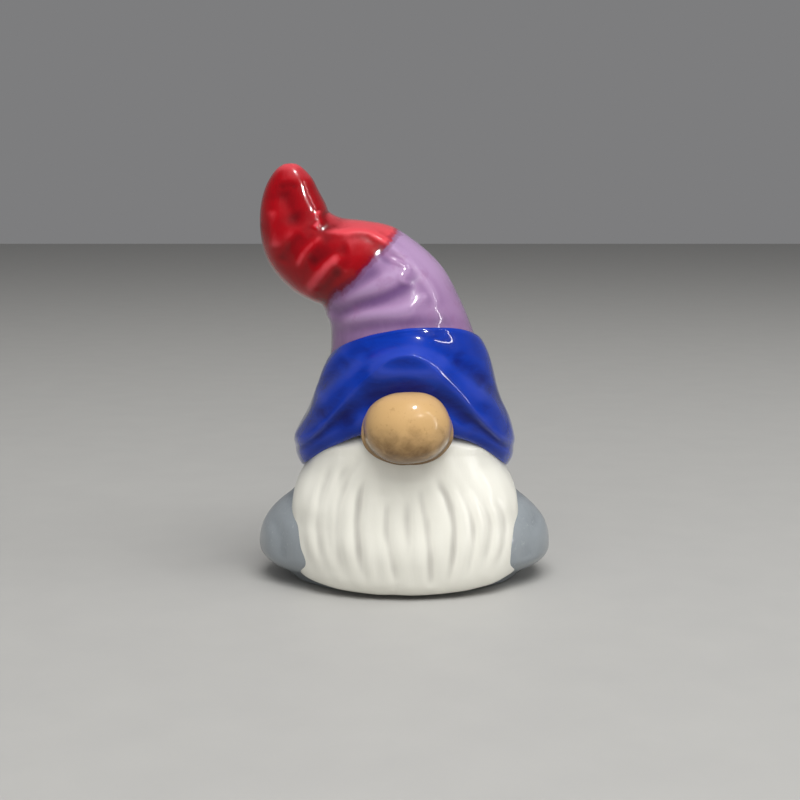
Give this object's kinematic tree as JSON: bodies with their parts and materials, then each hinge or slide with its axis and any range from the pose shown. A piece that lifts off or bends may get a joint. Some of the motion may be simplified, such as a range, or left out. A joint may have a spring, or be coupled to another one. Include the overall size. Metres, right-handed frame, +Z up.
{
  "type": "garden gnome",
  "caption": "Glazed earthenware gnome with a bent hat over its eyes, a round nose, a long beard and a squat hollow body.",
  "frame": {"origin": "middle of the foot, on the surface that the gnome stands on", "axes": "+Z up; -Y is the way the face looks; the hat bends towards -X"},
  "size_m": [0.108, 0.0864, 0.152],
  "materials": {
    "grey_glaze": "satin brushed glaze",
    "bare_clay": "unglazed bisque",
    "white_glaze": "satin brushed glaze",
    "tan_glaze": "gloss glaze",
    "blue_glaze": "gloss glaze",
    "purple_glaze": "gloss glaze",
    "red_glaze": "gloss glaze"
  },
  "bodies": {
    "root": {"body_shell": "grey_glaze", "base_slab": "bare_clay", "beard": "white_glaze", "nose": "tan_glaze", "hat_brim": "blue_glaze", "hat_crown": "purple_glaze", "hat_tip": "red_glaze"}
  },
  "joints": []
}
